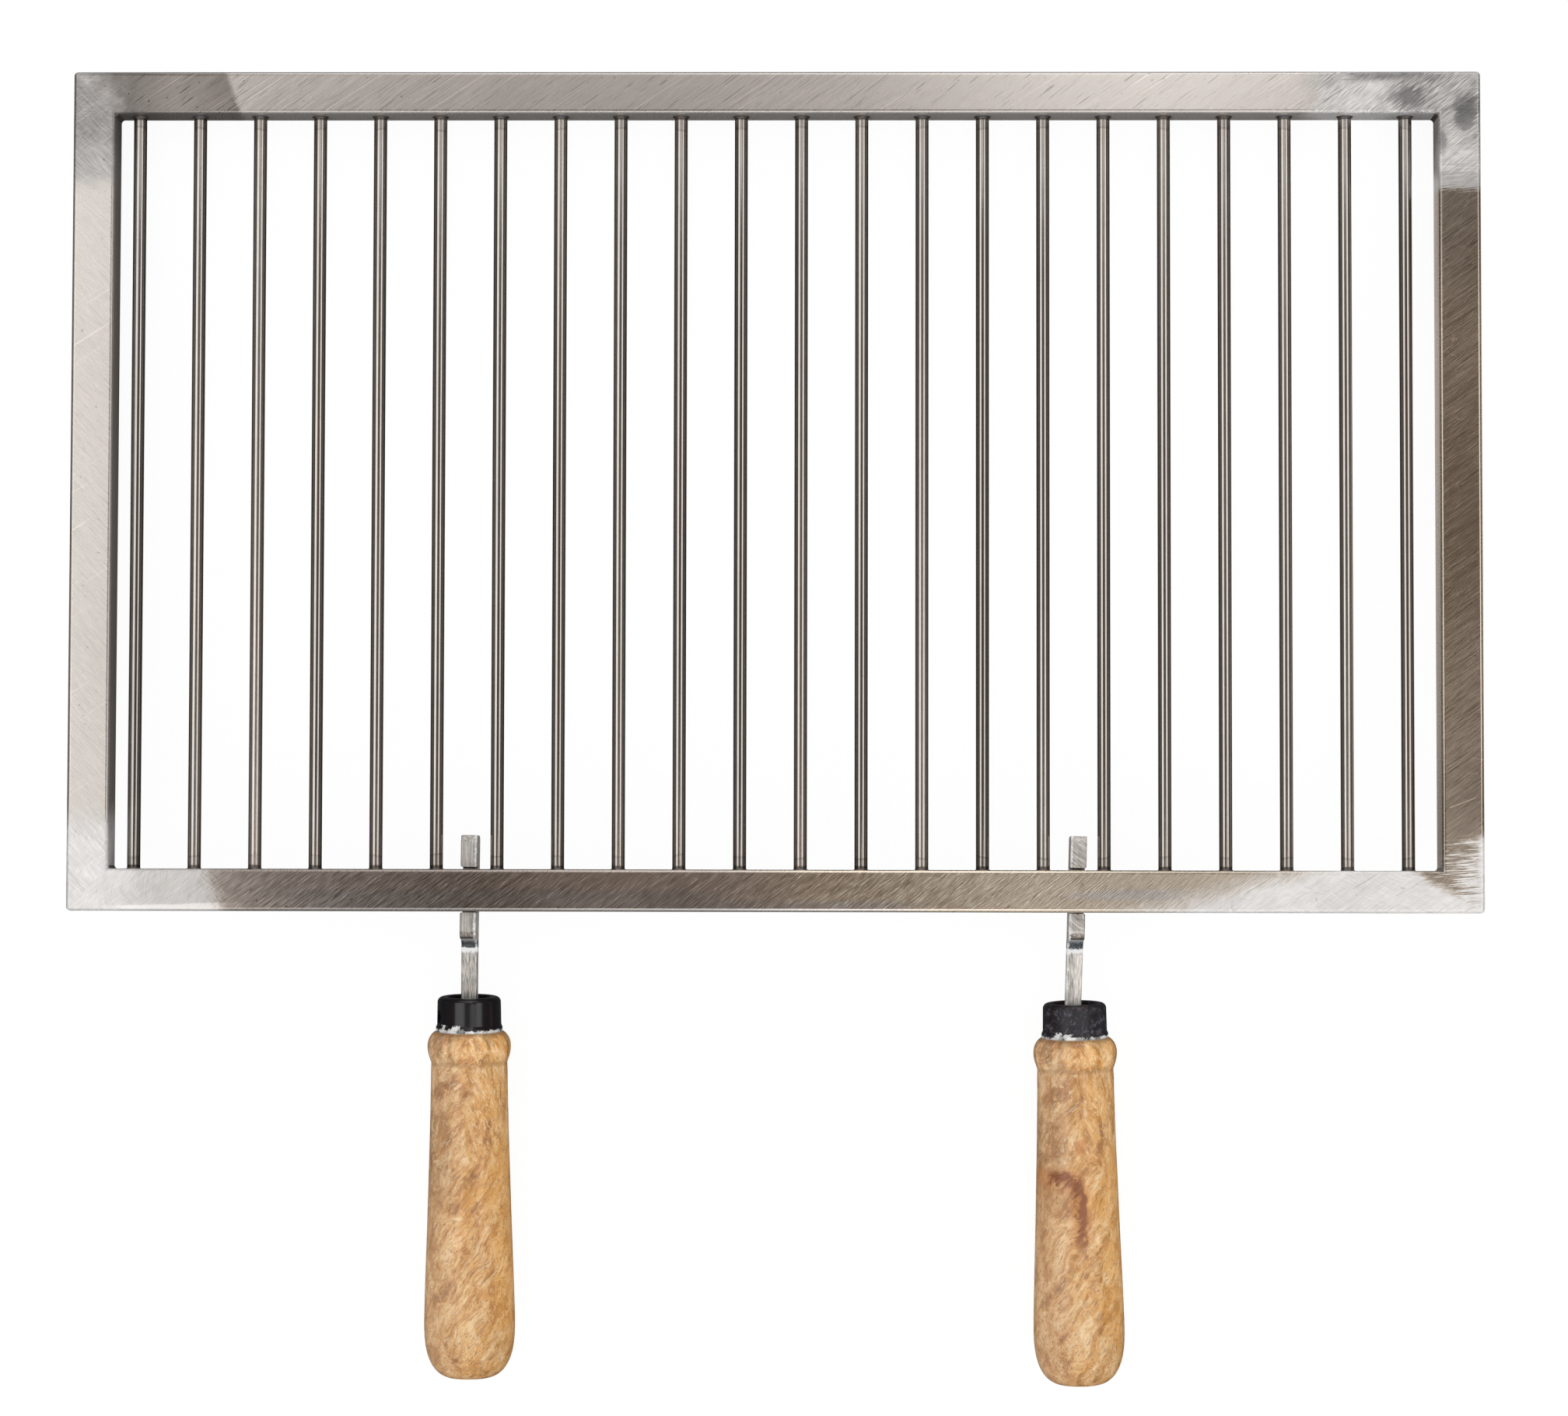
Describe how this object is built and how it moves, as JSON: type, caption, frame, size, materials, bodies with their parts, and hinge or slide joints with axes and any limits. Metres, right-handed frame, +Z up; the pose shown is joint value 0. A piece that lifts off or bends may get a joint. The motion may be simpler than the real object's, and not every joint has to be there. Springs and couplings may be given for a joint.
{
  "type": "barbecue grate with detachable handles",
  "caption": "Rectangular stainless steel barbecue grate of parallel round rods in a square-tube frame, with two hook-on handles with turned wooden grips at the front.",
  "frame": {"origin": "middle of the rear rail's underside", "axes": "+X to the right along the front rail, +Y from the front rail to the rear rail, along the rods, +Z up"},
  "size_m": [0.67, 0.6251, 0.0593],
  "materials": {
    "rail_steel": "ground stainless steel with fine swirl scratches",
    "rod_steel": "drawn stainless bar, satin, drawn lengthways",
    "weld_steel": "brushed weld bead with dull heat tint",
    "hook_steel": "ground stainless flat bar with grinding marks",
    "gloss_black_paint": "gloss black, chipped to bare metal along the rear edge",
    "worn_black_paint": "dull rough black, worn, chipped to bare metal along the rear edge",
    "handle_wood": "turned hardwood, satin varnish, slanting grain"
  },
  "bodies": {
    "grate": {"front_rail": "rail_steel", "rear_rail": "rail_steel", "left_rail": "rail_steel", "right_rail": "rail_steel", "rod_01": "rod_steel", "rod_02": "rod_steel", "rod_03": "rod_steel", "rod_04": "rod_steel", "rod_05": "rod_steel", "rod_06": "rod_steel", "rod_07": "rod_steel", "rod_08": "rod_steel", "rod_09": "rod_steel", "rod_10": "rod_steel", "rod_11": "rod_steel", "rod_12": "rod_steel", "rod_13": "rod_steel", "rod_14": "rod_steel", "rod_15": "rod_steel", "rod_16": "rod_steel", "rod_17": "rod_steel", "rod_18": "rod_steel", "rod_19": "rod_steel", "rod_20": "rod_steel", "rod_21": "rod_steel", "rod_22": "rod_steel", "rod_welds_front": "weld_steel", "rod_welds_rear": "weld_steel", "corner_welds": "weld_steel"},
    "left_handle": {"left_hook": "hook_steel", "left_ferrule": "gloss_black_paint", "left_grip": "handle_wood"},
    "right_handle": {"right_hook": "hook_steel", "right_ferrule": "worn_black_paint", "right_grip": "handle_wood"}
  },
  "joints": [
    {"name": "left_handle_lift_off", "type": "slide", "parent": "grate", "child": "left_handle", "axis": [0, 0, -1], "range_m": [0, 0.06]},
    {"name": "right_handle_lift_off", "type": "slide", "parent": "grate", "child": "right_handle", "axis": [0, 0, -1], "range_m": [0, 0.06]}
  ]
}
